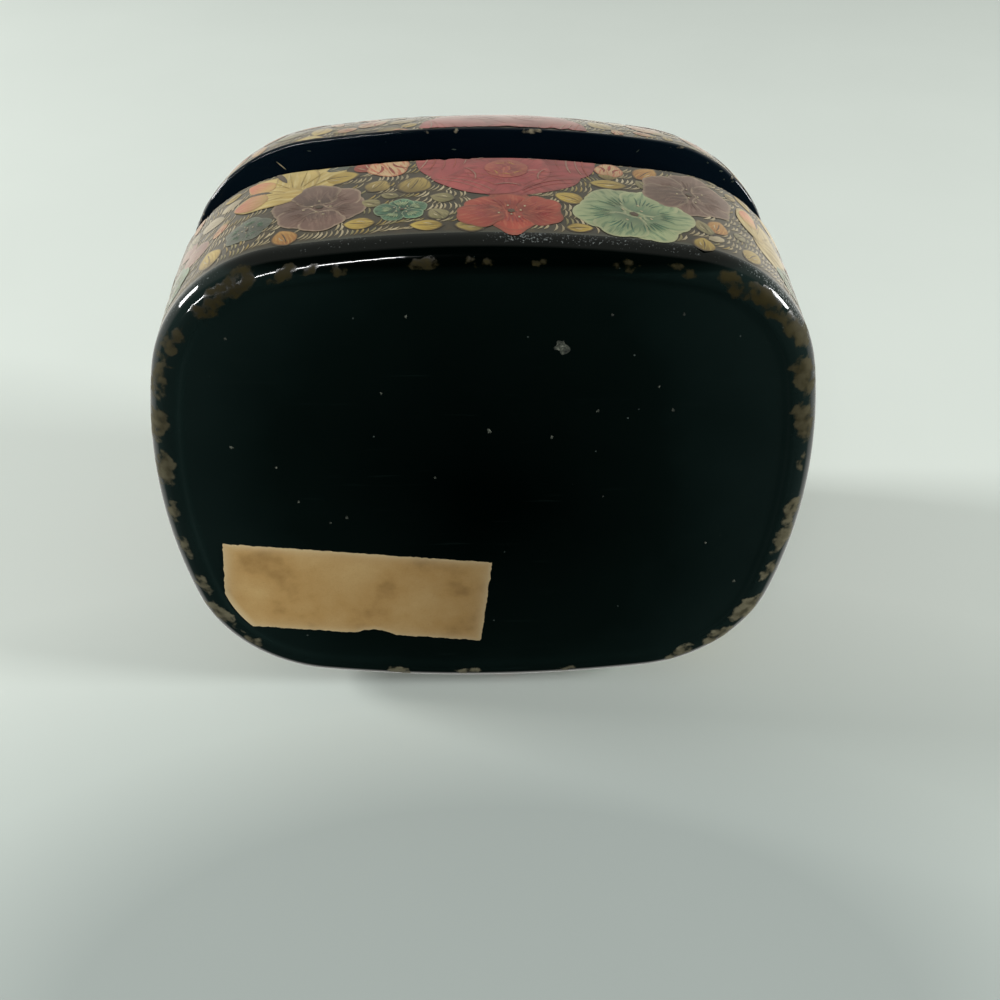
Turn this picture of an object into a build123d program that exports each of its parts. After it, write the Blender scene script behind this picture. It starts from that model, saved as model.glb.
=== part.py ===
# A rounded papier mache box, as it is made in Kashmir: a flared base with a glued neck collar,
# a domed lid that lifts off the collar, and a paper label under the base.
#
# The box stands on the ring round its dished bottom, at z = 0, with the origin in the middle.
# X is its length, Y its width, and the lid lifts along +Z. The lid is drawn part of the way up
# its collar, as it is left half open. All sizes are in millimetres.

from build123d import *
import math
import os

# The plan of the foot: a cushion of eight tangent arcs
foot_length = 100.0
foot_width = 82.5
long_side_radius = 195.0
short_side_radius = 92.0
corner_radius = 23.5

# Base
base_height = 26.5
base_flare = 1.4  # how far the rim stands out past the foot, all round
rim_thickness = 4.8  # of base and lid, where they meet
floor_thickness = 3.2
foot_edge_radius = 3.0  # the worn, rounded edge under the wall
floor_corner_fill = 4.0  # pulp packed into the corner between floor and wall, inside
ring_width = 1.0  # the flat ring that the box stands on
dish_depth = 0.35
dish_slope_width = 0.8

# Neck collar: a strip of board bent round inside the base and glued
collar_thickness = 1.8
collar_glued_height = 11.0
collar_standing_height = 14.8
collar_lead_in = 0.7  # chamfer that guides the lid on
collar_clearance = 0.25  # between the collar and the lid, all round

# Lid
lid_height = 28.5
lid_raised = 13.2  # how far it is drawn up from its seat on the rim
shoulder_inset = 19.6  # from the rim in to the edge of the crown, seen from above
crown_radius = 420.0
crown_thickness = 3.0
shoulder_thickness = 3.4  # where the shoulder runs into the crown
headroom = 0.6  # over the collar, inside the closed lid
shoulder_steps = 5  # plans between the rim and the crown

# Paper label, glued in the dish and worn off along the ring
label_length = 42.8
label_width = 17.5
label_thickness = 0.15
label_from_end = 28.8  # from the end of the foot to the label's middle
label_from_back = 20.65  # from the back of the foot to the label's middle
label_turn = 6.0  # degrees, as it was stuck on askew
label_to_ring = 0.1
tear_place = 3.4  # along the torn edge, from the label's middle
tear_length = 6.8
tear_depth = 1.1

# Heights and insets that follow
rim_inset = -base_flare
bore_inset = rim_inset + rim_thickness
lid_inner_inset = bore_inset
collar_outer_inset = bore_inset + collar_clearance
collar_inner_inset = bore_inset + collar_thickness
dish_inset = foot_edge_radius + ring_width
dish_floor_inset = dish_inset + dish_slope_width
lid_rim_height = base_height + lid_raised
collar_bottom = base_height - collar_glued_height
collar_top = base_height + collar_standing_height
overcut = 1.0


def cushion(inset=0.0, drawn_in=0.0):
    """The plan as a face. Inset moves each arc in by that distance; drawn_in then shrinks it to scale."""
    half_length = foot_length / 2 - inset - drawn_in
    half_width = foot_width / 2 - inset - drawn_in
    shrink = half_width / (half_width + drawn_in)
    side = (long_side_radius - inset) * shrink
    end = (short_side_radius - inset) * shrink
    corner = (corner_radius - inset) * shrink
    # A corner's centre lies where the long side's and the end's arcs, each drawn in by the corner
    # radius, cross
    side_centre = Vector(0, half_width - side)
    end_centre = Vector(half_length - end, 0)
    span = end_centre - side_centre
    along = ((side - corner) ** 2 - (end - corner) ** 2 + span.length**2) / (2 * span.length)
    across = math.sqrt((side - corner) ** 2 - along**2)
    outward = span.normalized().rotate(Axis.Z, -90)
    middle = side_centre + span.normalized() * along + outward * across
    end_half_angle = math.degrees(math.atan2(middle.Y, middle.X - end_centre.X))
    side_start = math.degrees(math.atan2(middle.Y - side_centre.Y, middle.X))
    corner_sweep = side_start - end_half_angle
    other_middle = Vector(-middle.X, middle.Y)
    half = [
        CenterArc(end_centre, end, -end_half_angle, 2 * end_half_angle),
        CenterArc(middle, corner, end_half_angle, corner_sweep),
        CenterArc(side_centre, side, side_start, 180 - 2 * side_start),
        CenterArc(other_middle, corner, 180 - side_start, corner_sweep),
    ]
    arcs = half + [Rot(0, 0, 180) * arc for arc in half]
    return make_face(Wire(arcs))


def at_height(height, face):
    return Pos(0, 0, height) * face


def prism(inset, bottom, top):
    """Straight walls on the plan, from one height to another."""
    return extrude(at_height(bottom, cushion(inset)), top - bottom)


def base_shell():
    """The flared base: rounded foot, dished bottom, and a straight bore that the collar is glued in."""
    body = loft([cushion(), at_height(base_height, cushion(rim_inset))], ruled=True)
    body = fillet(body.edges().group_by(Axis.Z)[0], foot_edge_radius)
    hollow = prism(bore_inset, dish_depth + floor_thickness, base_height + overcut)
    hollow = chamfer(hollow.edges().group_by(Axis.Z)[0], floor_corner_fill)
    dish = loft([cushion(dish_inset), at_height(dish_depth, cushion(dish_floor_inset))], ruled=True)
    return body - hollow - dish


def neck_collar():
    """The collar, tight to the base below the rim and clear of the lid above it."""
    collar = prism(bore_inset, collar_bottom, base_height)
    collar += prism(collar_outer_inset, base_height, collar_top)
    collar -= prism(collar_inner_inset, collar_bottom - overcut, collar_top + overcut)
    lip = collar.faces().sort_by(Axis.Z)[-1].outer_wire()
    return chamfer(lip.edges(), collar_lead_in)


def dome(inset, height, shoulder, banded=False):
    """A closed dome on the lid's rim: plans drawn in along a quarter ellipse, under a shallow crown.

    Banded leaves straight bands between the plans, and without it the shoulder is one smooth curve.
    """
    sections = []
    for step in range(shoulder_steps + 1):
        angle = math.pi / 2 * step / shoulder_steps
        plan = cushion(inset, shoulder * (1 - math.cos(angle)))
        sections.append(at_height(lid_rim_height + height * math.sin(angle), plan))
    # The ball's poles, where its grid pinches, are turned to the sides, away from the crown
    crown_ball = Pos(0, 0, lid_rim_height + height - crown_radius) * Rot(90, 0, 0) * Sphere(crown_radius)
    return loft(sections, ruled=banded) & crown_ball


def lid_shell():
    """The domed lid on the rim's own plan, with a straight bore as deep as the collar stands."""
    outside = dome(rim_inset, lid_height, shoulder_inset)
    inner_shoulder = shoulder_inset + shoulder_thickness - rim_thickness
    inside = dome(lid_inner_inset, lid_height - crown_thickness, inner_shoulder, banded=True)
    bore_top = lid_rim_height + collar_standing_height + headroom
    inside += prism(lid_inner_inset, lid_rim_height - overcut, bore_top)
    return outside - inside


def paper_label():
    """The blank label: a strip stuck on askew, worn away along the ring and torn at one place."""
    strip = Rectangle(label_length, label_width)
    edge = label_width / 2
    tear = make_face(
        Polyline(
            (tear_place - tear_length / 2, edge),
            (tear_place + tear_length / 5, edge - tear_depth),
            (tear_place + tear_length / 2, edge),
            close=True,
        )
    )
    place = Pos(label_from_end - foot_length / 2, foot_width / 2 - label_from_back)
    outline = place * Rot(0, 0, label_turn) * (strip - tear)
    outline &= cushion(dish_floor_inset + label_to_ring)
    return extrude(at_height(dish_depth - label_thickness, outline), label_thickness)


pieces = {
    "base_shell": base_shell,
    "neck_collar": neck_collar,
    "lid_shell": lid_shell,
    "paper_label": paper_label,
}

os.makedirs("parts", exist_ok=True)
for name, make in pieces.items():
    export_step(make(), f"parts/{name}.step")
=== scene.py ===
# A Kashmiri papier mache box, painted over black lacquer, drawn half open and seen from under its base.
import functools
import math
import random

import bmesh
import bpy
from mathutils import Matrix, Vector, noise


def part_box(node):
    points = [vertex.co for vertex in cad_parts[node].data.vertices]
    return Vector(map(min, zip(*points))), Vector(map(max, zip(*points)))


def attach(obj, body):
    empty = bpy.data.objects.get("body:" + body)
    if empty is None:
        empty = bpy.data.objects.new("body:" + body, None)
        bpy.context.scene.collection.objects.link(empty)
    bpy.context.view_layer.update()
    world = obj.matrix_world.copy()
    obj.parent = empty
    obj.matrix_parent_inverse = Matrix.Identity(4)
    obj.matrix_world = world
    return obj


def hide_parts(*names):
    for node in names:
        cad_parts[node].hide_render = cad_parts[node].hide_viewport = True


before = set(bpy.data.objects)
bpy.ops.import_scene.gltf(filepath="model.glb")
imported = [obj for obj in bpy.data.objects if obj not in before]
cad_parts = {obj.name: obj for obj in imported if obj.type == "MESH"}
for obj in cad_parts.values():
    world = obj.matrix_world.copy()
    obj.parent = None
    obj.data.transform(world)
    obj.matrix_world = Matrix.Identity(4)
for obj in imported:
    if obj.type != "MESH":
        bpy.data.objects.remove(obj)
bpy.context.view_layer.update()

mm = 0.001
print("frame loaded:", sorted(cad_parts))


# Small helpers

colourA, colourB = 6, 7  # a Mix node's two colour sockets


def fromHex(code):  # an sRGB hex value as linear colour
    channels = [int(code[place:place + 2], 16) / 255 for place in (0, 2, 4)]
    return [c / 12.92 if c <= 0.04045 else ((c + 0.055) / 1.055) ** 2.4 for c in channels] + [1.0]


def perMm(size):  # a texture's scale, from the real size of its pattern
    return 1 / (size * mm)


def join(tree, node, links):  # a node given as a source stands for the first of its live outputs
    for socket, source in links.items():
        if isinstance(source, bpy.types.Node):
            source = next(output for output in source.outputs if output.enabled)
        tree.links.new(source, node.inputs[socket])


def addNode(tree, kind, links=None, values=None, stops=None, **settings):
    node = tree.nodes.new("ShaderNode" + kind)
    for key, value in settings.items():
        setattr(node, key, value)
    for socket, value in (values or {}).items():
        node.inputs[socket].default_value = value
    join(tree, node, links or {})
    if stops:  # places and colours of a ramp
        elements = node.color_ramp.elements
        elements[0].position, elements[0].color = stops[0][0], fromHex(stops[0][1])
        elements[-1].position, elements[-1].color = stops[-1][0], fromHex(stops[-1][1])
        for place, code in stops[1:-1]:
            elements.new(place).color = fromHex(code)
    return node


def newMaterial(name, values):
    material = bpy.data.materials.new(name)
    material.use_nodes = True
    tree = material.node_tree
    tree.nodes.clear()
    shader = addNode(tree, "BsdfPrincipled", values=values)
    addNode(tree, "OutputMaterial", {"Surface": shader})
    return material, tree, shader


def newPiece(name, bm, materials, body):
    mesh = bpy.data.meshes.new(name)
    bm.to_mesh(mesh)
    bm.free()
    piece = bpy.data.objects.new(name, mesh)
    bpy.context.scene.collection.objects.link(piece)
    for material in materials:
        mesh.materials.append(material)
    mesh.shade_smooth()
    mesh.set_sharp_from_angle(angle=math.radians(40))
    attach(piece, body)
    print(name, len(mesh.polygons), "faces")
    return piece


def smoothStep(low, high, value):
    part = min(1.0, max(0.0, (value - low) / (high - low)))
    return part * part * (3 - 2 * part)


# The box's plan and walls, in millimetres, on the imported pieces' own sizes

lowBase, highBase = (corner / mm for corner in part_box("base_shell"))
lowLid, highLid = (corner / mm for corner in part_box("lid_shell"))

boxPlan = {
    "flare": 1.4,  # how far the rim stands out past the foot
    "sideRadius": 195.0,
    "endRadius": 92.0,
    "cornerRadius": 23.5,
    "wall": 4.8,  # thickness of both rims
}
footLength = highBase.x - lowBase.x - 2 * boxPlan["flare"]
footWidth = highBase.y - lowBase.y - 2 * boxPlan["flare"]
seam = highBase.z  # height at which lid and base meet when closed
raised = lowLid.z - seam  # how far the lid is drawn up
lidHeight = highLid.z - lowLid.z
rimInset = -boxPlan["flare"]
boreInset = rimInset + boxPlan["wall"]

lidForm = {
    "shoulder": 19.6,  # from the rim in to the crown
    "crownRadius": 420.0,
    "softCrease": 1.2,  # how gently the shoulder runs into the crown
    "rimLean": 0.6,  # how much the painted wall faces up at its rim
    "innerShoulder": 18.2,
    "innerHeight": 25.5,
    "boreDepth": 15.4,
    "lip": 0.35, "lipUneven": 0.35, "lipRun": 2.4,  # the rounded edge of the rim
    "firstTurn": 2.6, "shoulderRows": 34,  # where the shoulder's even rows begin, in degrees
}

handWork = {  # the unevenness of a hand-made wall
    "bump": 0.11, "bumpLength": 17.0, "crownCalm": 0.6,  # the crown was rubbed down flatter
    "nick": 0.45, "nickLength": 1.6, "nickLimit": 0.55,  # chips along the rims
    "nickGroups": 19.0, "nickGrouping": 0.55, "fewerNicks": 0.22,
}


@functools.lru_cache(maxsize=None)
def planArcs(inset, drawnIn):  # the cushion's arcs, from the front's middle round through +X
    halfLength = footLength / 2 - inset - drawnIn
    halfWidth = footWidth / 2 - inset - drawnIn
    shrink = halfWidth / (halfWidth + drawnIn)
    side = (boxPlan["sideRadius"] - inset) * shrink
    end = (boxPlan["endRadius"] - inset) * shrink
    corner = (boxPlan["cornerRadius"] - inset) * shrink
    sideY, endX = halfWidth - side, halfLength - end
    span = Vector((endX, -sideY))
    along = ((side - corner) ** 2 - (end - corner) ** 2 + span.length_squared) / (2 * span.length)
    across = math.sqrt((side - corner) ** 2 - along ** 2)
    middle = Vector((0, sideY)) + span.normalized() * along
    middle += Vector((span.y, -span.x)).normalized() * across
    endAngle = math.atan2(middle.y, middle.x - endX)
    sideAngle = math.atan2(middle.y - sideY, middle.x)
    turn, halfSide = sideAngle - endAngle, math.pi / 2 - sideAngle
    return (  # each is its middle, radius, start and sweep
        (0, -sideY, side, -math.pi / 2, halfSide),
        (middle.x, -middle.y, corner, -sideAngle, turn),
        (endX, 0, end, -endAngle, 2 * endAngle),
        (middle.x, middle.y, corner, endAngle, turn),
        (0, sideY, side, sideAngle, 2 * halfSide),
        (-middle.x, middle.y, corner, math.pi - sideAngle, turn),
        (-endX, 0, end, math.pi - endAngle, 2 * endAngle),
        (-middle.x, -middle.y, corner, math.pi + endAngle, turn),
        (0, -sideY, side, math.pi + sideAngle, halfSide),
    )


rimRuns = [arc[2] * arc[4] for arc in planArcs(rimInset, 0.0)]
girth = sum(rimRuns)


def planPoint(along, inset, drawnIn=0.0):  # along is measured on the rim, from the front's middle towards +X
    left = along % girth
    number = 0
    while number < 8 and left > rimRuns[number]:
        left -= rimRuns[number]
        number += 1
    x, y, radius, start, sweep = planArcs(round(inset, 3), round(drawnIn, 3))[number]
    angle = start + sweep * left / rimRuns[number]
    outward = Vector((math.cos(angle), math.sin(angle), 0))
    return Vector((x, y, 0)) + outward * radius, outward


def unevenness(place, closedHeight):  # of the outside, out along the wall
    wave = noise.noise(Vector((place.x, place.y, closedHeight)) / handWork["bumpLength"])
    calm = 1 - handWork["crownCalm"] * smoothStep(seam + 10, seam + lidHeight, closedHeight)
    return handWork["bump"] * 2 * wave * smoothStep(2.5, 8, closedHeight) * calm


def crownHeight(x, y, edge=0.0):  # edge is how far the shoulder's own curve stands under the crown's top
    ball = highLid.z - (x * x + y * y) / (2 * lidForm["crownRadius"])
    curve, soft = highLid.z - edge, lidForm["softCrease"]
    part = min(1.0, max(0.0, 0.5 + 0.5 * (ball - curve) / soft))
    return ball + (curve - ball) * part - soft * part * (1 - part)


shoulderRuns = [0.0]  # length of the shoulder's curve up to each half degree
for halfDegree in range(180):
    turnA, turnB = (math.radians(step / 2) for step in (halfDegree, halfDegree + 1))
    run = math.hypot(lidForm["shoulder"] * (math.cos(turnA) - math.cos(turnB)),
                     lidHeight * (math.sin(turnB) - math.sin(turnA)))
    shoulderRuns.append(shoulderRuns[-1] + run)


def shoulderTurn(run):  # the curve's angle at a length along it
    low = 0
    while low < 179 and shoulderRuns[low + 1] < run:
        low += 1
    part = (run - shoulderRuns[low]) / (shoulderRuns[low + 1] - shoulderRuns[low])
    return math.radians((low + min(1.0, part)) / 2)


def shoulderPoint(along, turn, lift=0.0):
    drawnIn = lidForm["shoulder"] * (1 - math.cos(turn))
    place, outward = planPoint(along, rimInset, drawnIn)
    place.z = crownHeight(place.x, place.y, lidHeight * (1 - math.sin(turn)))
    upward = Vector((0, 0, lidForm["shoulder"] * math.sin(turn) + lidForm["rimLean"]))
    facing = outward * (lidHeight * math.cos(turn)) + upward
    return place + facing.normalized() * (lift + unevenness(place, place.z - raised))


def crownPoint(x, y, lift=0.0):
    place = Vector((x, y, crownHeight(x, y)))
    facing = Vector((x / lidForm["crownRadius"], y / lidForm["crownRadius"], 1)).normalized()
    return place + facing * (lift + unevenness(place, place.z - raised))


def wallPoint(along, up, lift=0.0):  # up runs over the seam and the shoulder, as on the closed box
    if up > seam + 0.01:
        return shoulderPoint(along, shoulderTurn(up - seam), lift)
    place, outward = planPoint(along, rimInset * up / seam)
    place.z = up
    facing = (outward - Vector((0, 0, boxPlan["flare"] / seam))).normalized()
    return place + facing * (lift + unevenness(place, up))


# Materials

lacquerLook = {
    # black, body, and the lighter tone of a painted reflection, then the coat where it is rubbed: shaded,
    # bare, and paler at the ends
    "underside": ("000302", "060f0d", "131f1d", "1b1706", "3a341d", "706c58"),
    "inside": ("010509", "020910", "08131b", "4c4536", "a0957c", "a0957c"),  # bluer, a painted reflection
    "hairline": "1b2523", "dust": "727d78", "grit": "8c9290",
    "cloud": 22.0, "cloudShare": 0.3,
    "reflectionLength": footLength / 1.7, "reflectionWidth": footWidth / 1.2,  # painted reflection: lighter away from the middle
    "darkFrontEdge": 3.0, "darkFrontFade": 1.6,  # the painted reflection is left off the front edge, which stays black
    "hairs": 0.6, "hairTurn": 0.6, "hairStretch": 0.05,  # hairlines, drawn coarser than real ones to show
    "specks": 1.5, "specksLeftOut": 0.86,
    "wear": 1.7, "palerReach": 50.0, "palerFrom": 20.0,  # how far from a place behind the front it grows paler
    "fineGrit": 0.3,  # this too is drawn coarser
    "orangePeel": 2.5, "wornDulling": 0.45, "wornDepth": 0.9,
}


def blackLacquer(name, tones, dished=False):  # polished lamp-black lacquer: deep, glossy, hairlined and dusty
    look = lacquerLook
    black, body, reflectedTone = tones[:3]
    shaded, bare, paleWornTone = (fromHex(tone) for tone in tones[3:])
    material, tree, shader = newMaterial(name, {"IOR": 1.5})
    place = addNode(tree, "TexCoord").outputs["Object"]
    parts = addNode(tree, "SeparateXYZ", {0: place})

    # random cloud, and a painted reflection that lightens the lacquer towards the ends
    cloud = addNode(tree, "TexNoise", {"Vector": place}, {"Scale": perMm(look["cloud"]), "Detail": 3.0})
    plan = addNode(tree, "Mapping", {"Vector": place},
                   {"Scale": (perMm(look["reflectionLength"]), perMm(look["reflectionWidth"]), 0)})
    fromMiddle = addNode(tree, "VectorMath", {0: plan}, operation="LENGTH")
    darkFrontTo = (look["darkFrontEdge"] - footWidth / 2) * mm if dished else -1
    behind = addNode(tree, "MapRange", {0: parts.outputs["Y"]},
                     {"From Min": darkFrontTo, "From Max": darkFrontTo + look["darkFrontFade"] * mm})
    paintedReflection = addNode(tree, "Math", {0: fromMiddle, 1: behind}, operation="MULTIPLY")
    cloudAndReflection = addNode(tree, "Math", {0: cloud, 2: paintedReflection}, {1: look["cloudShare"]}, operation="MULTIPLY_ADD")
    depth = addNode(tree, "ValToRGB", {0: cloudAndReflection}, stops=[(0.2, black), (0.66, body), (1.0, reflectedTone)])

    # hairline scratches and specks of dust
    combed = addNode(tree, "Mapping", {"Vector": place},
                     {"Rotation": (0, 0, look["hairTurn"]), "Scale": (look["hairStretch"], 1, 1)})
    hairs = addNode(tree, "TexNoise", {"Vector": combed}, {"Scale": perMm(look["hairs"]), "Detail": 2.0})
    hairMask = addNode(tree, "MapRange", {0: hairs}, {"From Min": 0.68, "From Max": 0.78, "To Max": 0.22})
    scratched = addNode(tree, "Mix", {0: hairMask, colourA: depth},
                        {colourB: fromHex(look["hairline"])}, data_type="RGBA")
    specks = addNode(tree, "TexVoronoi", {"Vector": place}, {"Scale": perMm(look["specks"])})
    dots = addNode(tree, "MapRange", {0: specks}, {"From Min": 0.12, "From Max": 0.04, "To Max": 0.42})
    chosen = addNode(tree, "Math", {0: specks.outputs["Color"]}, {1: look["specksLeftOut"]},
                     operation="GREATER_THAN")
    speckMask = addNode(tree, "Math", {0: dots, 1: chosen}, operation="MULTIPLY")
    dusty = addNode(tree, "Mix", {0: speckMask, colourA: scratched},
                    {colourB: fromHex(look["dust"])}, data_type="RGBA")

    # rubbed through, and paler towards the ends
    rubbed = addNode(tree, "Attribute", attribute_name="rubbed").outputs["Fac"]
    grain = addNode(tree, "TexNoise", {"Vector": place}, {"Scale": perMm(look["wear"]), "Detail": 5.0})
    ragged = addNode(tree, "Math", {0: rubbed, 1: grain}, operation="ADD")
    wornMask = addNode(tree, "MapRange", {0: ragged}, {"From Min": 0.91, "From Max": 1.07, "To Max": 0.92})
    coat = addNode(tree, "Mix", {0: grain}, {colourA: shaded, colourB: bare}, data_type="RGBA")
    fromFront = addNode(tree, "Mapping", {"Vector": place},
                        {"Location": (0, look["palerFrom"] / look["palerReach"], 0),
                         "Scale": (perMm(look["palerReach"]), perMm(look["palerReach"]), 0)})
    outwardDistance = addNode(tree, "VectorMath", {0: fromFront}, operation="LENGTH")
    palerOutward = addNode(tree, "MapRange", {0: outwardDistance}, {"From Min": 0.82, "From Max": 1.2})
    patchy = addNode(tree, "MapRange", {0: grain},
                     {"From Min": 0.4, "From Max": 0.6, "To Min": 0.35, "To Max": 1.0})
    palerMask = addNode(tree, "Math", {0: palerOutward, 1: patchy}, operation="MULTIPLY")
    paledCoat = addNode(tree, "Mix", {0: palerMask, colourA: coat}, {colourB: paleWornTone}, data_type="RGBA")
    abraded = addNode(tree, "Mix", {0: wornMask, colourA: dusty, colourB: paledCoat}, data_type="RGBA")

    # grit caught in the lacquer over the foot
    fine = addNode(tree, "TexNoise", {"Vector": place}, {"Scale": perMm(look["fineGrit"]), "Detail": 2.0})
    gritty = addNode(tree, "Attribute", attribute_name="gritty").outputs["Fac"]
    gritted = addNode(tree, "Math", {0: fine, 1: gritty}, operation="ADD")
    gritMask = addNode(tree, "MapRange", {0: gritted}, {"From Min": 1.12, "From Max": 1.28, "To Max": 0.6})
    colour = addNode(tree, "Mix", {0: gritMask, colourA: abraded},
                     {colourB: fromHex(look["grit"])}, data_type="RGBA")

    # glossy, but matt where it is worn, with a faint orange peel
    sheen = addNode(tree, "MapRange", {0: wornMask}, {"To Min": 0.32, "To Max": 0.03})
    polish = addNode(tree, "MapRange", {0: cloud}, {"To Min": 0.03, "To Max": 0.1})
    dulled = addNode(tree, "Math", {0: wornMask, 2: polish}, {1: look["wornDulling"]},
                     operation="MULTIPLY_ADD")
    peel = addNode(tree, "TexNoise", {"Vector": place}, {"Scale": perMm(look["orangePeel"]), "Detail": 3.0})
    relief = addNode(tree, "Math", {0: wornMask, 2: peel}, {1: -look["wornDepth"]},
                     operation="MULTIPLY_ADD")
    bump = addNode(tree, "Bump", {"Height": relief}, {"Strength": 0.25, "Distance": 0.05 * mm})
    join(tree, shader,
         {"Base Color": colour, "Specular IOR Level": sheen, "Roughness": dulled, "Normal": bump})
    return material


copalVarnish = {  # old varnish over everything painted: warm, a little hazy, and glossy in patches
    "IOR": 1.5, "Specular IOR Level": 0.2,
    "Coat Weight": 0.8, "Coat Roughness": 0.12, "Coat Tint": fromHex("f4e6c6"),
    "Sheen Weight": 0.04, "Sheen Roughness": 0.4,
}

groundLook = {
    "dark": "0e0a04", "light": "271f0d", "veil": "40351b",  # brown-black ground under hazy varnish
    "pulp": "b8ab90", "pulpShade": "7c6b50",
    "strip": "262e2c", "stripTop": 3.7, "stripFade": 0.7, "stripWave": 1.4,  # lacquer left bare at the foot, grey as a painted reflection
    "mottle": 1.8, "edgeWave": 6.0, "wear": 0.7, "wornDulling": 0.4, "wornDepth": 1.2,
}


def paintedGround():  # matt size colour under old copal varnish: warm, dark, hazed, and chipped to the pulp
    look = groundLook
    material, tree, shader = newMaterial("varnishedGround", copalVarnish)
    place = addNode(tree, "TexCoord").outputs["Object"]
    mottle = addNode(tree, "TexNoise", {"Vector": place}, {"Scale": perMm(look["mottle"]), "Detail": 6.0})
    ground = addNode(tree, "ValToRGB", {0: mottle},
                     stops=[(0.35, look["dark"]), (0.56, look["light"]), (0.75, look["veil"])])
    height = addNode(tree, "SeparateXYZ", {0: place}).outputs["Z"]
    waves = addNode(tree, "TexNoise", {"Vector": place}, {"Scale": perMm(look["edgeWave"]), "Detail": 4.0})
    wavy = addNode(tree, "Math", {0: waves, 2: height}, {1: look["stripWave"] * mm},
                   operation="MULTIPLY_ADD")
    above = addNode(tree, "MapRange", {0: wavy},
                    {"From Min": look["stripTop"] * mm,
                     "From Max": (look["stripTop"] + look["stripFade"]) * mm})
    # the bare lacquer strip under the paint, grey as a painted reflection
    painted = addNode(tree, "Mix", {0: above, colourB: ground}, {colourA: fromHex(look["strip"])},
                      data_type="RGBA")
    rubbed = addNode(tree, "Attribute", attribute_name="rubbed").outputs["Fac"]
    grain = addNode(tree, "TexNoise", {"Vector": place}, {"Scale": perMm(look["wear"]), "Detail": 4.0})
    ragged = addNode(tree, "Math", {0: rubbed, 1: grain}, operation="ADD")
    wornMask = addNode(tree, "MapRange", {0: ragged}, {"From Min": 1.0, "From Max": 1.1})
    pulp = addNode(tree, "Mix", {0: grain},
                   {colourA: fromHex(look["pulpShade"]), colourB: fromHex(look["pulp"])}, data_type="RGBA")
    colour = addNode(tree, "Mix", {0: wornMask, colourA: painted, colourB: pulp}, data_type="RGBA")
    gloss = addNode(tree, "MapRange", {0: waves}, {"To Min": 0.2, "To Max": 0.42})
    dulled = addNode(tree, "Math", {0: wornMask, 2: gloss}, {1: look["wornDulling"]},
                     operation="MULTIPLY_ADD")
    relief = addNode(tree, "Math", {0: wornMask, 2: mottle}, {1: -look["wornDepth"]},
                     operation="MULTIPLY_ADD")
    bump = addNode(tree, "Bump", {"Height": relief}, {"Strength": 0.3, "Distance": 0.06 * mm})
    join(tree, shader, {"Base Color": colour, "Roughness": dulled, "Normal": bump})
    return material


gouaches = {  # root, body, tip, outline and brush streaks of each flower colour
    "rose": ("902c3e", "a83c50", "b8525f", "9c4452", "8e2c3c"),
    "roseHeart": ("9a3a4a", "a8484e", "b25a52", "a64450", "bc6e5a"),
    "scarlet": ("84221c", "a6302a", "b64538", "9a4a3e", "be6250"),
    "sage": ("5c806c", "98b496", "b2c8aa", "bccab0", "66907a"),
    "teal": ("184c42", "367a68", "70a690", "9cb8a4", "103c34"),
    "plum": ("523638", "6e5052", "7c6262", "ac9c94", "8c7272"),
    "slate": ("3a4a4c", "516264", "607070", "7e8c88", "334245"),
    "lily": ("cdb566", "e0cd82", "ecdc9a", "b4a266", "f2e6b0"),
    "lilyBlush": ("dfc47c", "e29c74", "e47c66", "dcae7c", "eab890"),
    "blossom": ("cfa98c", "dcc3a2", "e0c9ac", "b9705a", "c45f4c"),
    "petalPink": ("9c6e70", "ad8180", "b68f8b", "c4aaa0", "8d5e64"),
    "ochreLeaf": ("7a6a34", "ac9a54", "c0ae6a", "40351a", "7c6c38"),
    "oliveLeaf": ("6a6a45", "8c8a60", "9e9a78", "504e36", "a8a482"),
    "marigold": ("8a7428", "b8a044", "cdb95e", "443a18", "d8c670"),
    "amberBud": ("a46a2e", "bc8840", "c89c56", "5a4620", "dab468"),
    "chalk": ("c2bca8", "d8d2c0", "e4deca", "bcb6a2", "aca694"),
    "straw": ("a49c84", "bcb49c", "cac2ac", "a49c84", "948c76"),
    "umber": ("34261b", "422f20", "503a28", "2c2017", "58422e"),
}
gouacheNames = list(gouaches)
brushLook = {
    "stretch": (1.6, 9, 1), "streaks": 1.4,  # streaks run along each dab's own length
    "offset": (7, 7, 0), "toneSpread": 0.1,  # no two dabs are streaked or mixed alike
    "raggedEdge": 0.09, "grime": 3.5,
}


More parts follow.
